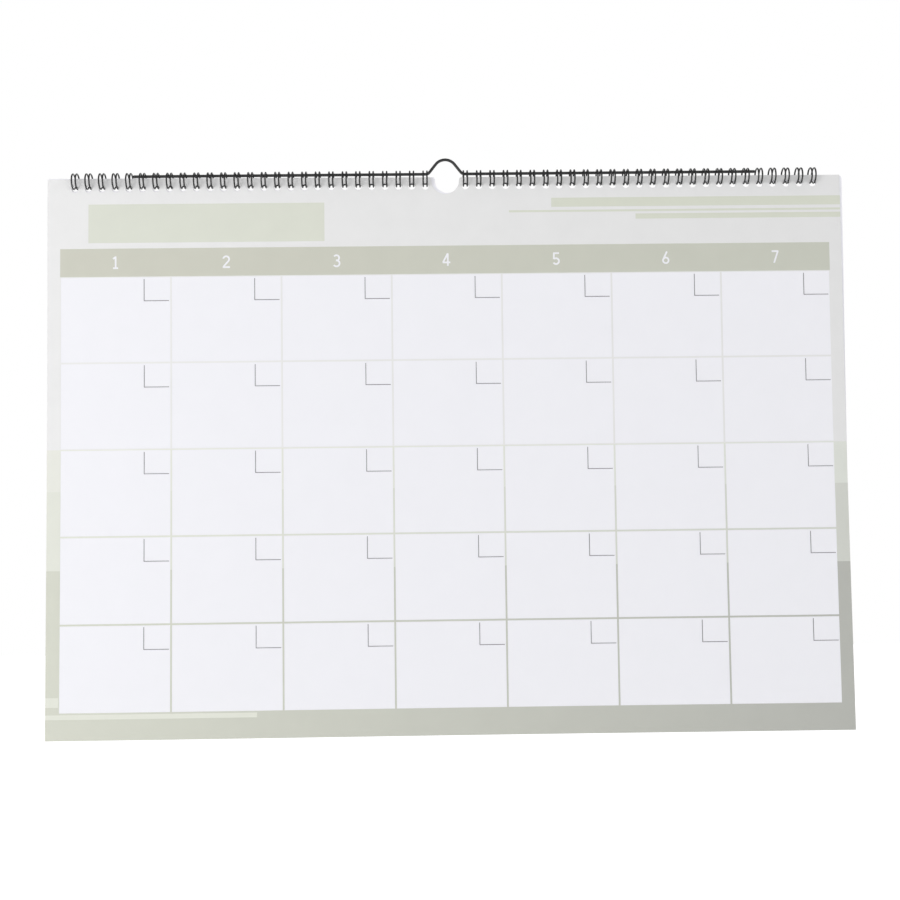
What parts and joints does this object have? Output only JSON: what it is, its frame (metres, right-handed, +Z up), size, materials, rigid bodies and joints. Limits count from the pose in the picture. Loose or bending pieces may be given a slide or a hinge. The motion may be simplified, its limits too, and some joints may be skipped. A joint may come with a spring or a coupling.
{
  "type": "wire-bound wall planner",
  "caption": "Landscape monthly wall planner with twin-loop wire binding along its top edge and a wire hanger; pages turn on the loops.",
  "frame": {"origin": "where the nail or hook touches the hanger, inside the top of its bump", "axes": "+X right seen from the front, +Z up along the hanging page, printed page faces -Y"},
  "size_m": [0.5018, 0.0104, 0.3611],
  "materials": {
    "black_hanger_wire": "black coated steel wire, satin",
    "black_binding_wire": "black nylon coated steel wire, satin",
    "paper": "uncoated white offset paper, matte",
    "pale_print": "pale grey tint, matte",
    "light_sage_print": "light sage tint, matte",
    "middle_sage_print": "sage tint, matte",
    "dark_sage_print": "darker sage tint, matte",
    "header_print": "grey-sage print, matte",
    "month_print": "pale sage print, matte",
    "stripe_print": "sage print, matte",
    "grey_line_print": "thin grey line print, matte"
  },
  "bodies": {
    "hanger": {"hanger": "black_hanger_wire"},
    "binding": {"left_binding_wire": "black_binding_wire", "right_binding_wire": "black_binding_wire"},
    "pages": {"page_block": "paper", "upper_print_field": "pale_print", "light_print_field": "light_sage_print", "middle_print_field": "middle_sage_print", "dark_print_field": "dark_sage_print", "header_band": "header_print", "month_box": "month_print", "top_stripes": "stripe_print", "corner_stripes": "light_sage_print", "date_marks": "grey_line_print"}
  },
  "joints": [
    {"name": "hanger_swing", "type": "hinge", "parent": "hanger", "child": "binding", "pos_m": [0, 0, -0.00825], "axis": [1, 0, 0], "range_deg": [-90, 90]},
    {"name": "page_turn", "type": "hinge", "parent": "binding", "child": "pages", "pos_m": [0, 0, -0.01115], "axis": [1, 0, 0], "range_deg": [-80, 50]}
  ]
}
